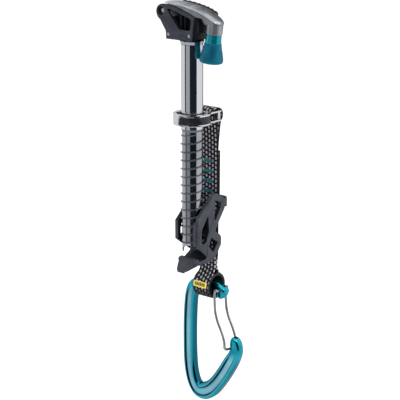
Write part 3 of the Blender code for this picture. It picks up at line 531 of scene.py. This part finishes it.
faces = []
for k in range(len(angles)):
    n = (k + 1) % len(angles)
    for i in range(size):
        j = (i + 1) % size
        faces.append((k * size + i, k * size + j, n * size + j, n * size + i))
tube = mesh_object("screw_tube_polished", verts, faces, CHROME.mat)
tube.data.materials.append(THREAD_FINISH_AND_SHADE.mat)
tube.data.materials.append(RIDGE_PAINTED_SHADE.mat)
# Threads take the darker finish; the step and the flared top take painted shade.
for poly in tube.data.polygons:
    height = poly.center.z / MM
    if height < STEP_LOW or height > FLARE_FROM:
        poly.material_index = 1
    elif height < STEP_HIGH:
        poly.material_index = 2
tube.data.set_sharp_from_angle(angle=math.radians(14.0))
done(tube, "screw", "polished_steel", "screw_tube")

turns, steps = 13.75, 48
stations = int(turns * steps)
rings = []
for k in range(stations + 1):
    behind = (stations - k) / steps
    z = THREAD_TOP - PITCH * behind
    a = math.radians(THREAD_ANGLE - 360.0 * behind)
    grow = min(1.0, min(k, stations - k) / (steps * 0.5) + 0.1)
    top = ROOT_R - 0.1 + (CREST_R - ROOT_R + 0.1) * grow
    toe, flank = ROOT_R + 0.05, ROOT_R + 0.2 * grow
    section = [
        (ROOT_R - 0.5, -1.15), (toe, -0.85), (flank, -0.62), (top - 0.12, -0.34), (top, -0.2),
        (top, 0.12), (top - 0.12, 0.27), (flank, 0.42), (toe, 0.6), (ROOT_R - 0.5, 0.9),
    ]
    rings.append([(r * math.cos(a), r * math.sin(a), z + dz) for r, dz in section])
done(loft("screw_thread", rings, RIDGE_PAINTED_SHADE.mat), "screw", "polished_steel")

# ------------------------------------------------------------------ head
DOME_RISE = 0.45

done(refined("hanger_front_plate", "front_plate_rounded", PLATE.mat, 0.45), "screw", "head_black",
     "hanger_front_plate")
done(refined("hanger_back_plate", "back_plate_rounded", PLATE.mat, 0.45), "screw", "head_black",
     "hanger_back_plate")
done(refined("hanger_core", "core_rounded", CORE.mat, 0.3), "screw", "core_black", "hanger_core")
for node in ("hanger_rivet_left", "hanger_rivet_right", "crank_pivot_pin"):
    lo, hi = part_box(node)
    x, z = (lo.x + hi.x) * 0.5 * PER_M, (lo.z + hi.z) * 0.5 * PER_M
    half, r = hi.y * PER_M, (hi.x - lo.x) * 0.5 * PER_M
    dome = [(0.001, -half)]
    for t in (k * math.pi / 12 for k in range(1, 7)):
        dome.append((r * math.sin(t), -half + DOME_RISE * (1 - math.cos(t))))
    profile = dome + [(p[0], -p[1]) for p in reversed(dome)]
    done(revolve(node + "_domed", profile, 32, PIN.mat, across_y(x, z), closed=False), "screw",
         "pin_steel", node)

# ------------------------------------------------------------------ crank arm
PIVOT = (-22.9, 184.1)
TIP_X, TIP_R = 22.35, 6.3
GROOVES, GROOVE_FROM, GROOVE_STEP = 5, -9.5, 4.2
lean = math.radians(7.5)
boss_axis = Vector((math.sin(lean), 0.0, math.cos(lean)))
boss_foot = Vector((21.95, 0.0, 177.0)) - boss_axis * (7.1 / math.cos(lean))
knob_place = Matrix.Translation(boss_foot) @ Matrix.Rotation(lean, 4, "Y")
crest = curve([(-21.6, 190.9), (-14.0, 191.2), (-5.0, 190.5), (4.0, 189.0), (12.0, 187.0), (19.0, 184.0),
               (24.6, 180.9), (28.2, 178.7)], 6)
belly = [(-21.6, 189.9), (-17.0, 189.5), (-9.0, 188.1), (-0.5, 185.4), (7.4, 182.6), (9.4, 181.6),
         (16.4, 180.8), (17.6, 177.4), (28.4, 176.6)]


def height_at(line, x):
    """Height of an (x, z) line at one x."""
    near = 0
    while near < len(line) - 2 and line[near + 1][0] < x:
        near += 1
    (x0, z0), (x1, z1) = line[near], line[near + 1]
    return z0 + (z1 - z0) * (x - x0) / (x1 - x0)


rings = []
for x, top in crest:
    half = 7.6 - 1.3 * min(1.0, max(0.0, (x - 10.0) / 12.0)) - 2.2 * max(0.0, (-19.6 - x) / 2.0)
    if x > TIP_X:
        half = max(1.4, math.sqrt(max(0.0, TIP_R ** 2 - (x - TIP_X) ** 2)))
    low = min(height_at(belly, x) + 0.25, top - 0.9)
    shoulder = max(top - 1.5, low + 0.1)
    rings.append([
        (x, -half, low), (x, -half, shoulder), (x, -half + 1.0, top - 0.5), (x, -half * 0.45, top),
        (x, half * 0.45, top), (x, half - 1.0, top - 0.5), (x, half, shoulder), (x, half, low),
    ])
eye = arc(PIVOT, 4.4, 75.0, 262.0, 20)
eye += [(-19.6, 181.4), (-14.6, 186.7), (-11.2, 189.4), (-16.0, 190.4)]
boss = [(0.001, 0.0), (5.9, 0.0), (6.15, 0.3), (6.15, 7.5), (4.55, 8.7), (0.001, 8.9)]
gusset = [(9.8, 183.6), (12.9, 180.4), (15.4, 176.8), (18.0, 176.4), (22.0, 178.4), (16.0, 183.4)]
parts = [
    loft("arm_bar", rings, GUN.mat),
    prism("arm_eye", eye, -4.4, 4.4, GUN.mat),
    revolve("arm_boss", boss, 64, GUN.mat, knob_place),
    prism("arm_web", gusset, -4.6, 4.6, GUN.mat),
]
strip_line = [p for p in crest if -15.0 < p[0] < 20.5]
rebate = [(x, z + 3.0) for x, z in strip_line] + [(x, z - 1.4) for x, z in reversed(strip_line)]
cutters = [prism("rebate", rebate, 5.6, 9.6, None)]
for k in range(GROOVES):
    x = GROOVE_FROM + GROOVE_STEP * k
    top = height_at(crest, x)
    fall = height_at(crest, x + 0.5) - height_at(crest, x - 0.5)
    turn = Matrix.Translation((x, -0.8, top)) @ Matrix.Rotation(-math.atan(fall), 4, "Y")
    slot = [turn @ Vector(v) for v in (
        (-0.55, -3.1, -0.45), (0.55, -3.1, -0.45), (0.55, 3.1, -0.45), (-0.55, 3.1, -0.45),
        (-0.9, -3.5, 0.9), (0.9, -3.5, 0.9), (0.9, 3.5, 0.9), (-0.9, 3.5, 0.9),
    )]
    cutters.append(loft("groove", [slot[:4], slot[4:]], None, smooth=False))
arm = joined("crank_arm_cast", parts, cutters, GUN.mat, 0.28)
done(arm, "crank", "crank_gunmetal", "crank_arm")
done(refined("crank_arm_cover", "arm_strip_rounded", COVER.mat, 0.12, 2), "crank", "cover_black",
     "crank_arm_cover")
done(refined("knob_axle", "knob_axle_turned", PIN.mat, 0.15, 2), "crank", "pin_steel", "knob_axle")

# ------------------------------------------------------------------ knob
ferrule = [(2.1, -7.0), (6.1, -7.0), (6.05, -6.2), (5.8, -3.4), (5.75, -2.0), (5.75, -0.5),
           (5.62, -0.22), (5.4, -0.15), (2.1, -0.15)]
done(revolve("knob_ferrule_gloss", ferrule, 64, TEAL.mat, knob_place), "knob", "teal_anodised",
     "knob_ferrule")
grip = curve([(6.35, -7.05), (6.5, -8.2), (6.8, -9.8), (7.4, -12.3), (8.05, -15.0), (8.55, -17.6),
              (8.72, -19.0), (8.75, -19.7), (8.62, -20.5), (8.3, -21.0), (7.7, -21.25), (7.0, -21.3)], 4)
grip += [(5.2, -21.3), (4.7, -21.1), (4.4, -20.6), (4.4, -17.8), (2.1, -17.8), (2.1, -7.05)]
done(revolve("knob_grip_flared", grip, 72, GRIP.mat, knob_place), "knob", "teal_grip", "knob_grip")

# ------------------------------------------------------------------ ring
done(refined("ring_frame", "ring_frame_polished", RING.mat, 0.25), "ring", "ring_steel", "ring_frame")
done(refined("ring_band", "ring_band_rounded", BAND.mat, 0.3), "ring", "band_black", "ring_band")
liner = [(9.25, 101.2), (9.5, 100.9), (10.2, 100.9), (10.38, 101.1), (10.38, 108.3), (10.2, 108.5),
         (9.5, 108.5), (9.25, 108.2)]
done(revolve("ring_liner_turned", liner, 72, LINER.mat), "slider", "liner_nylon", "ring_liner")

# ------------------------------------------------------------------ sling
# Centres of the upper and lower turns, then the label's angles round the lower one.
UY, UZ = 20.2, 104.7
LY, LZ = 20.2, -30.6
LABEL_FROM, LABEL_SWEEP, LABEL_MIDDLE = 157.0, 25.0, 169.5
# The protector's cup, in metres, whose faces get painted shade: a near-black copy of the plastic in place
# of the shadow inside.
CUP_HALF, CUP_BACK, CUP_TOP = 0.0113, -0.0058, 0.030


def band_half(z):
    """Half the band's width at one height; it narrows towards the carabiner."""
    return 9.0 - 1.6 * min(1.0, max(0.0, (-4.0 - z) / 14.0))


def strip(name, path, half_t, closed, mat, v0=0.0):
    """A woven band along a (y, z) path, with soft edges and millimetre UVs."""
    rings = []
    uvs = []
    run = v0
    count = len(path)
    for k, (y, z) in enumerate(path):
        a = path[k - 1] if k or closed else path[k]
        b = path[(k + 1) % count] if k < count - 1 or closed else path[k]
        t = Vector((b[0] - a[0], b[1] - a[1])).normalized()
        n = Vector((-t.y, t.x))
        if k:
            run += math.hypot(y - path[k - 1][0], z - path[k - 1][1])
        w = band_half(z)
        section = [(-w, -0.25), (-w + 0.35, -0.8), (-w + 1.2, -1.0), (0.0, -1.0), (w - 1.2, -1.0),
                   (w - 0.35, -0.8), (w, -0.25)]
        section += [(u, -d) for u, d in reversed(section)]
        rings.append([(u, y + n.x * d * half_t, z + n.y * d * half_t) for u, d in section])
        uvs += [(u + BAND_MIDDLE, run) for u, _ in section]
    return loft(name, rings, mat, closed, True, uvs)


upper = arc((UY, UZ), 5.25, 232.0, -52.0, 28)
lower = arc((LY, LZ), 9.6, 56.0, -236.0, 44)
back = curve([upper[-1], (22.4, 97.0), (21.4, 90.0), (20.5, 83.0), (20.1, 76.0), (20.6, 66.0),
              (20.8, 50.0), (20.5, 25.0), (20.3, 0.0), (20.5, -12.0), (22.0, -18.0), lower[0]], 6)
front = curve([lower[-1], (18.3, -17.4), (18.8, -12.0), (19.0, 0.0), (19.4, 20.0), (19.7, 40.0),
               (19.7, 60.0), (19.6, 80.0), (19.2, 90.0), (18.2, 97.0), upper[0]], 6)
loop = upper + back[1:-1] + lower + front[1:-1]
web = strip("sling_woven", loop, 0.84, True, WEB)
done(web, "sling", "sling_webbing", "sling_webbing")
tail = curve([(22.2, 77.0), (22.1, 60.0), (21.9, 40.0), (21.5, 22.0)], 8)
done(strip("sling_woven_overlap", tail, 0.7, False, WEB, 1.2), "sling", "sling_webbing")

for row in range(4):
    node = "sling_bar_tack_%d" % (row + 1)
    lo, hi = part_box(node)
    mid_z = (lo.z + hi.z) * 0.5 * PER_M
    face_y = hi.y * PER_M
    cols, rows = 44, 16
    verts = []
    for layer in (0, 1):
        for i in range(rows + 1):
            v = 2.0 * i / rows - 1.0
            for k in range(cols + 1):
                u = 2.0 * k / cols - 1.0
                lobe = abs(math.sin((u + 1.0) * 1.5 * math.pi))
                reach = 1.05 + 0.5 * lobe ** 0.6
                rise = (0.12 + 0.5 * lobe ** 0.5) * (1.0 - v ** 4) * (1.0 - u ** 12)
                y = face_y + 0.12 if layer else face_y - 0.03 - rise
                verts.append((4.4 * u, y, mid_z + v * reach))
    done(mesh_object(node + "_sewn", verts, slab_faces(cols, rows), TACK.mat), "sling", "tack_thread",
         node)

verts = []
uvs = []
cols, rows = 24, 12
mid_a = math.radians(LABEL_MIDDLE)
for radius in (10.78, 10.36):
    for i in range(rows + 1):
        a = math.radians(LABEL_FROM + LABEL_SWEEP * i / rows)
        for k in range(cols + 1):
            x = -7.0 + 12.8 * k / cols
            corner = max(0.0, abs(2.0 * k / cols - 1.0) - 0.92) * 6.0
            b = mid_a + (a - mid_a) * (1.0 - 0.5 * corner)
            verts.append((x, LY + radius * math.cos(b), LZ + radius * math.sin(b)))
            uvs.append((k / cols, i / rows))
done(mesh_object("sling_label_woven", verts, slab_faces(cols, rows), LABEL, True, uvs), "sling",
     "label_yellow", "sling_label")

spool = [
    (8.0, -8.0), (8.3, -8.3), (9.9, -8.3), (10.2, -8.15), (10.35, -7.95), (10.35, -7.6), (8.78, -7.55),
    (8.78, 7.55), (10.2, 7.58), (10.2, 7.75), (9.95, 7.88), (8.3, 7.9), (8.0, 7.7),
]
done(revolve("keeper_spool", spool, 80, RUBBER.mat, across_x(LY, LZ)), "sling", "keeper_rubber",
     "carabiner_keeper")

guard = refined("tooth_protector", "protector_moulded", PLASTIC.mat, 0.55, 3, 28.0)
guard.data.materials.append(CUP_PAINTED_SHADE.mat)
# Painted shade: faces inside the cup take the near-black copy instead of real shadow.
for poly in guard.data.polygons:
    if abs(poly.center.x) < CUP_HALF and poly.center.y > CUP_BACK and poly.center.z < CUP_TOP:
        poly.material_index = 1
done(guard, "sling", "protector_plastic", "tooth_protector")

# ------------------------------------------------------------------ carabiner
CY = 21.0
GATE_PIN = (12.6, -33.0)
DIMPLE = (12.7, -37.2)
WIRE_R, WIRE_Y, WIRE_SIDES = 1.05, 6.9, 16
WIRE_TIP = (20.7, -76.6)
# Each row is x, z, half the bar's width, half its thickness and the depth of its side recess.
spine = curve([
    (15.9, -37.1, 3.8, 3.7, 0.0), (14.4, -36.2, 4.8, 3.9, 0.0), (12.2, -34.8, 5.2, 3.9, 0.0),
    (9.0, -32.4, 4.6, 3.8, 0.0), (4.6, -31.3, 4.5, 3.8, 0.0), (-3.0, -31.1, 4.8, 3.8, 0.0),
    (-10.2, -32.2, 5.0, 3.8, 0.0), (-15.2, -35.8, 5.1, 3.8, 0.1), (-17.9, -42.6, 5.1, 3.8, 1.0),
    (-19.1, -52.0, 5.2, 3.8, 1.3), (-19.8, -66.0, 5.3, 3.8, 1.3), (-19.9, -82.0, 5.3, 3.8, 1.3),
    (-19.5, -97.0, 5.4, 3.8, 1.3), (-18.0, -108.6, 5.3, 3.9, 1.3), (-14.9, -117.2, 5.3, 4.0, 1.0),
    (-10.2, -121.6, 6.1, 4.1, 0.7), (-4.2, -121.5, 7.0, 4.2, 0.8), (2.6, -117.8, 6.8, 4.2, 1.3),
    (9.4, -110.4, 6.3, 4.1, 1.6), (16.0, -101.0, 6.2, 4.0, 1.6), (22.0, -91.2, 6.0, 3.9, 1.1),
    (26.2, -83.8, 5.2, 3.8, 0.2), (27.5, -78.6, 4.6, 3.7, 0.0), (26.4, -74.4, 4.4, 3.7, 0.0),
    (23.0, -73.0, 4.5, 3.6, 0.0),
], 6)
rings = []
reflection_band_uvs = []
total = len(spine)
for k, (x, z, a, b, d) in enumerate(spine):
    d = max(0.0, d)
    p = spine[max(k - 1, 0)]
    q = spine[min(k + 1, total - 1)]
    run = Vector((q[0] - p[0], q[1] - p[1])).normalized()
    side = Vector((-run.y, run.x))
    edge = min(1.0, min(k, total - 1 - k) / 5.0)
    taper = 0.62 + 0.38 * math.sqrt(1.0 - (1.0 - edge) ** 2)
    a *= taper
    b *= taper
    half = [(a, 0.0), (a, 0.42 * b), (0.95 * a, 0.68 * b), (0.84 * a, 0.87 * b), (0.73 * a, 0.97 * b),
            (0.62 * a, b), (0.54 * a, b - 0.03 * d), (0.5 * a, b - 0.25 * d), (0.44 * a, b - 0.85 * d),
            (0.36 * a, b - d), (0.16 * a, b - d)]
    quarter = curve(half, 2)
    marks = [n / (len(quarter) - 1.0) for n in range(len(quarter))]
    marks += marks[::-1]
    marks += marks[1:-1]
    # Places for the painted reflection bands: across the section, and the recess depth that turns them
    # on.
    reflection_band_uvs += [(m, min(1.0, d)) for m in marks]
    section = quarter + [(-u, v) for u, v in reversed(quarter)]
    section += [(u, -v) for u, v in reversed(section[1:-1])]
    rings.append([(x + side.x * u, CY + v, z + side.y * u) for u, v in section])
for at, move in ((0, (1.0, -0.5)), (-1, (-1.2, -0.1))):
    px, pz = spine[at][0], spine[at][1]
    caps = []
    for shrink, reach in ((0.82, 0.55), (0.5, 0.9), (0.2, 1.0)):
        caps.append([(px + move[0] * reach + (r[0] - px) * shrink, CY + (r[1] - CY) * shrink,
                      pz + move[1] * reach + (r[2] - pz) * shrink) for r in rings[at]])
    plain = [(0.0, 0.0)] * (len(rings[0]) * len(caps))
    if at == 0:
        rings = list(reversed(caps)) + rings
        reflection_band_uvs = plain + reflection_band_uvs
    else:
        rings = rings + caps
        reflection_band_uvs = reflection_band_uvs + plain
body = loft("carabiner_forged", rings, CARAB.mat, uvs=reflection_band_uvs)
tools = [revolve("gate_pin_hole", [(0.001, -30.0), (1.17, -30.0), (1.17, -12.0), (0.001, -12.0)], 24,
                 None, across_y(*GATE_PIN))]
for face in (-1.0, 1.0):
    near, far = sorted((CY + face * 2.8, CY + face * 8.0))
    tools.append(revolve("dimple", [(0.001, -far), (1.15, -far), (1.15, -near), (0.001, -near)], 24, None,
                         across_y(*DIMPLE)))
    tools.append(prism("nose_groove", [(24.6, -67.0), (26.3, -67.0), (25.3, -78.6), (23.9, -78.6)], near,
                       far, None))
add_booleans(body, "DIFFERENCE", tools)
settle(body)
for tool in tools:
    bpy.data.objects.remove(tool)
body.data.materials.clear()
body.data.materials.append(CARAB.mat)
for poly in body.data.polygons:
    poly.use_smooth = True
body.data.set_sharp_from_angle(angle=math.radians(26.0))
done(body, "carabiner", "carabiner_anodised", "carabiner_body")

gx, gz = GATE_PIN
wire_side = curve([(gx - 1.2, gz + 0.9), (gx - 2.0, gz - 2.6), (10.8, -43.0), (11.4, -50.0),
                   (13.5, -57.0), (16.6, -63.0), (19.1, -68.4), (20.4, -73.0), WIRE_TIP], 5)
line = [(gx, CY - 2.0, gz), (gx, CY - WIRE_Y + 0.9, gz), (gx - 0.25, CY - WIRE_Y + 0.2, gz + 0.25)]
line += [(x, CY - WIRE_Y, z) for x, z in wire_side]
side_count = len(line)
for k in range(1, 16):
    a = math.pi * k / 16.0
    line.append((WIRE_TIP[0] + 0.3 * math.sin(a), CY - WIRE_Y * math.cos(a),
                 WIRE_TIP[1] - 3.2 * math.sin(a) ** 0.6))
line += [(x, 2.0 * CY - y, z) for x, y, z in reversed(line[:side_count])]
line = [Vector(p) for p in line]
up = Vector((1.0, 0.0, 0.0))
rings = []
for k, point in enumerate(line):
    run = (line[min(k + 1, len(line) - 1)] - line[max(k - 1, 0)]).normalized()
    up = (up - run * up.dot(run)).normalized()
    other = run.cross(up)
    rings.append([tuple(point + (up * math.cos(t) + other * math.sin(t)) * WIRE_R)
                  for t in (2.0 * math.pi * i / WIRE_SIDES for i in range(WIRE_SIDES))])
done(loft("gate_wire_drawn", rings, WIRE.mat), "gate", "gate_wire_steel", "gate_wire")

# ------------------------------------------------------------------ studio
FLOOR_Z, FLOOR_HALF = -0.34, 6.0
CARD_LOW, CARD_HIGH = -0.335, 1.2
MIRROR_Z, MIRROR_HALF = -0.336, 0.9
LIGHT_TARGET = Vector((0.0, 0.0, 0.03))


def square(half, z):
    """Four corners of a level square."""
    return [(-half, -half, z), (half, -half, z), (half, half, z), (-half, half, z)]


def reflector(name, verts, faces, colour):
    """Glowing stage surface that is seen only in reflections."""
    mesh = bpy.data.meshes.new(name)
    mesh.from_pydata(verts, [], faces)
    mat = bpy.data.materials.new(name)
    mat.use_nodes = True
    mat.node_tree.nodes.clear()
    glow = mat.node_tree.nodes.new("ShaderNodeEmission")
    glow.inputs["Color"].default_value = (*colour, 1.0)
    glow.inputs["Strength"].default_value = 1.0
    out = mat.node_tree.nodes.new("ShaderNodeOutputMaterial")
    mat.node_tree.links.new(glow.outputs[0], out.inputs["Surface"])
    mesh.materials.append(mat)
    obj = bpy.data.objects.new(name, mesh)
    SCENE.collection.objects.link(obj)
    for kind in ("visible_camera", "visible_diffuse", "visible_shadow", "visible_transmission"):
        setattr(obj, kind, False)


def card(name, start, end, radius, colour):
    """Curved reflector on the studio wall, between two azimuths in degrees."""
    steps = 24
    verts = []
    for k in range(steps + 1):
        a = math.radians(start + (end - start) * k / steps)
        for z in (CARD_LOW, CARD_HIGH):
            verts.append((radius * math.cos(a), radius * math.sin(a), z))
    reflector(name, verts, [(2 * k, 2 * k + 2, 2 * k + 3, 2 * k + 1) for k in range(steps)], colour)


card("card_navy", -74.0, 0.0, 0.9, (0.010, 0.014, 0.022))
card("card_light", 0.0, 88.0, 0.92, (0.74, 0.75, 0.77))
card("card_right", 88.0, 130.0, 0.9, (0.015, 0.018, 0.026))
card("card_back", 130.0, 230.0, 0.92, (0.66, 0.67, 0.69))
card("card_black", 230.0, 243.0, 0.9, (0.004, 0.004, 0.005))
card("card_grey", 243.0, 286.0, 0.92, (0.34, 0.35, 0.37))

reflector("card_floor", square(MIRROR_HALF, MIRROR_Z), [(0, 1, 2, 3)], (0.68, 0.69, 0.71))

floor_mesh = bpy.data.meshes.new("floor")
floor_mesh.from_pydata(square(FLOOR_HALF, FLOOR_Z), [], [(0, 1, 2, 3)])
floor_look = Look("floor_paper", (0.93, 0.93, 0.93), 0.0, 0.9)
paper = floor_look.noise(floor_look.place(), 3.0)
floor_look.plug(floor_look.mix(paper, (0.92, 0.92, 0.92), (0.94, 0.94, 0.94)), "Base Color")
floor_mesh.materials.append(floor_look.mat)
floor = bpy.data.objects.new("floor", floor_mesh)
SCENE.collection.objects.link(floor)

world = bpy.data.worlds.new("studio")
SCENE.world = world
world.use_nodes = True
world.node_tree.nodes["Background"].inputs["Color"].default_value = (1.0, 1.0, 1.0, 1.0)
world.node_tree.nodes["Background"].inputs["Strength"].default_value = 1.15


def area(name, azimuth, elevation, distance, size, power):
    """Soft rectangular light aimed at the middle of the object."""
    light = bpy.data.lights.new(name, "AREA")
    light.shape = "RECTANGLE"
    light.size, light.size_y = size
    light.energy = power
    obj = bpy.data.objects.new(name, light)
    SCENE.collection.objects.link(obj)
    a, e = math.radians(azimuth), math.radians(elevation)
    obj.location = LIGHT_TARGET + distance * Vector(
        (math.cos(a) * math.cos(e), math.sin(a) * math.cos(e), math.sin(e)))
    obj.rotation_mode = "QUATERNION"
    obj.rotation_quaternion = (LIGHT_TARGET - obj.location).to_track_quat("-Z", "Y")


area("key", 10.0, 40.0, 1.6, (0.7, 1.0), 12.0)
area("fill", -120.0, 25.0, 1.8, (0.8, 1.2), 4.0)
area("back", 150.0, 50.0, 1.8, (0.8, 0.8), 6.0)

# ------------------------------------------------------------------ camera
LENS, DISTANCE = 130.32, 1.1
AZIMUTH, ELEVATION = math.radians(40.0), math.radians(15.0)
AIM_SIDE, AIM_HEIGHT = 0.0059, 0.0412

cam_data = bpy.data.cameras.new("camera")
cam_data.sensor_width = 36.0
cam_data.lens = LENS
camera = bpy.data.objects.new("camera", cam_data)
SCENE.collection.objects.link(camera)
aim = Vector((AIM_SIDE * math.cos(AZIMUTH), AIM_SIDE * math.sin(AZIMUTH), AIM_HEIGHT))
out = Vector((math.sin(AZIMUTH) * math.cos(ELEVATION), -math.cos(AZIMUTH) * math.cos(ELEVATION),
              math.sin(ELEVATION)))
camera.location = aim + out * DISTANCE
camera.rotation_mode = "QUATERNION"
camera.rotation_quaternion = (-out).to_track_quat("-Z", "Y")
cam_data.clip_start, cam_data.clip_end = 0.05, 50.0
SCENE.camera = camera
SCENE.view_settings.view_transform = "Standard"
